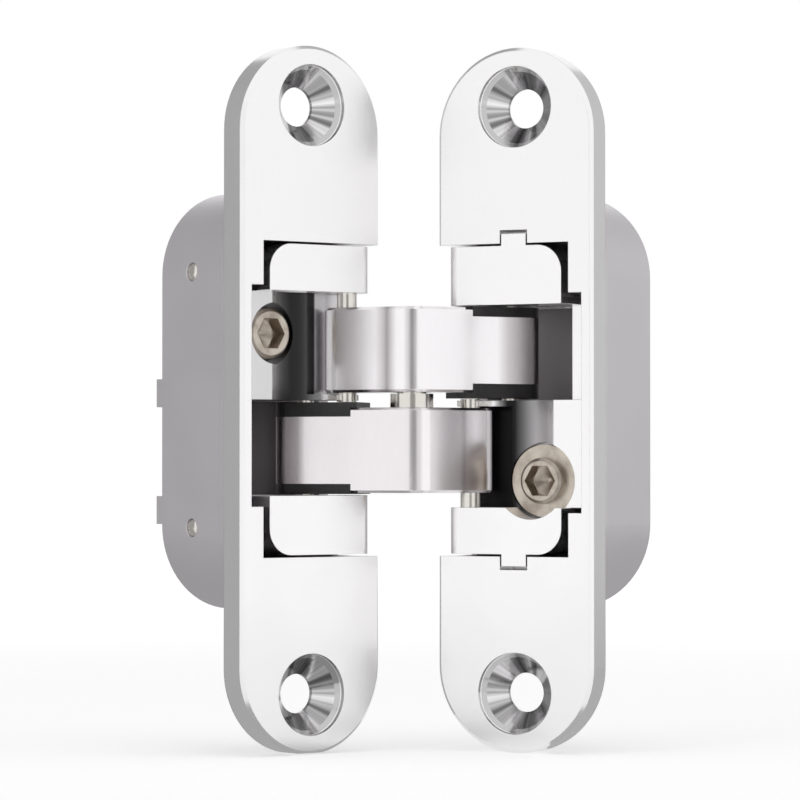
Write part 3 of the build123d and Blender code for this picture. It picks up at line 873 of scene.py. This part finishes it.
# soft boxes and grey flags, placed round the hinge in the camera's own directions
# side: + is to the camera's right; back: + is away from the camera
lightLooks = {
    "rightBox": {"side": 1.05, "back": -0.25, "up": 0.15, "width": 0.9, "height": 0.9, "power": 2.4},
    "leftBox": {"side": -0.8, "back": -0.65, "up": 0.2, "width": 0.7, "height": 0.9, "power": 1.9},
    "topBox": {"side": 0.0, "back": -0.1, "up": 1.0, "width": 0.9, "height": 0.9, "power": 2.4},
}
flagLooks = {
    "leftFlag": {"side": -0.50, "back": 0.23, "up": 0.0, "width": 0.77, "height": 0.8, "shade": 0.40},
    "rightFlag": {"side": 0.402, "back": 0.375, "up": 0.0, "width": 0.47, "height": 0.8, "shade": 0.56},
    "leftTopFlag": {"side": -0.42, "back": 0.28, "up": 0.62, "width": 0.9, "height": 0.5, "shade": 0.38},
    "rightTopFlag": {"side": 0.40, "back": 0.36, "up": 0.62, "width": 0.6, "height": 0.5, "shade": 0.46},
    "cameraFlag": {"side": 0.06, "back": -0.62, "up": 0.0, "width": 0.30, "height": 0.7, "shade": 0.36},
}
# cards on the floor at the sides, seen only in the metal
cardLooks = {
    "leftCard": {"side": -0.415, "back": 0.335, "width": 0.83, "height": 0.71, "shade": 0.40},
    "rightCard": {"side": 0.43, "back": 0.324, "width": 0.82, "height": 0.672, "shade": 0.44},
}
cardLift = 0.2 * mm


def studioPlace(look):
    forward, right = viewAxes()
    flatForward = Vector((forward.x, forward.y, 0)).normalized()
    middle = Vector(cameraLook["target"])
    return middle + right * look["side"] + flatForward * look["back"] + Vector((0, 0, look["up"]))


def aimAtHinge(place):
    return (Vector(cameraLook["target"]) - place).to_track_quat("-Z", "Y").to_euler()


for name, look in lightLooks.items():
    lamp = bpy.data.lights.new(name, "AREA")
    lamp.shape = "RECTANGLE"
    lamp.size = look["width"]
    lamp.size_y = look["height"]
    lamp.energy = look["power"]
    box = bpy.data.objects.new(name, lamp)
    box.location = studioPlace(look)
    box.rotation_euler = aimAtHinge(box.location)
    box.visible_glossy = False
    scene.collection.objects.link(box)


def makeCard(name, look, place, turn):
    w, h = look["width"] / 2, look["height"] / 2
    mesh = bpy.data.meshes.new(name)
    mesh.from_pydata([(-w, -h, 0), (w, -h, 0), (w, h, 0), (-w, h, 0)], [], [(0, 1, 2, 3)])
    card = bpy.data.objects.new(name, mesh)
    card.location = place
    card.rotation_euler = turn
    card.visible_camera = False
    card.visible_shadow = False
    card.visible_diffuse = False
    material = bpy.data.materials.new(name)
    material.use_nodes = True
    tree = material.node_tree
    tree.nodes.remove(tree.nodes["Principled BSDF"])
    shade = addNode(tree, "ShaderNodeEmission", (0, 0))
    shade.inputs["Color"].default_value = (look["shade"], look["shade"], look["shade"], 1)
    wire(tree, shade, "Emission", tree.nodes["Material Output"], "Surface")
    mesh.materials.append(material)
    scene.collection.objects.link(card)


for name, look in flagLooks.items():
    makeCard(name, look, studioPlace(look), aimAtHinge(studioPlace(look)))
for name, look in cardLooks.items():
    place = studioPlace({**look, "up": cadLow.z + cardLift})
    makeCard(name, look, place, (0, 0, math.radians(cameraLook["azimuth"])))
print("stage:", len(lightLooks), "soft boxes,", len(flagLooks), "flags,", len(cardLooks), "cards")

scene.view_settings.view_transform = "Standard"
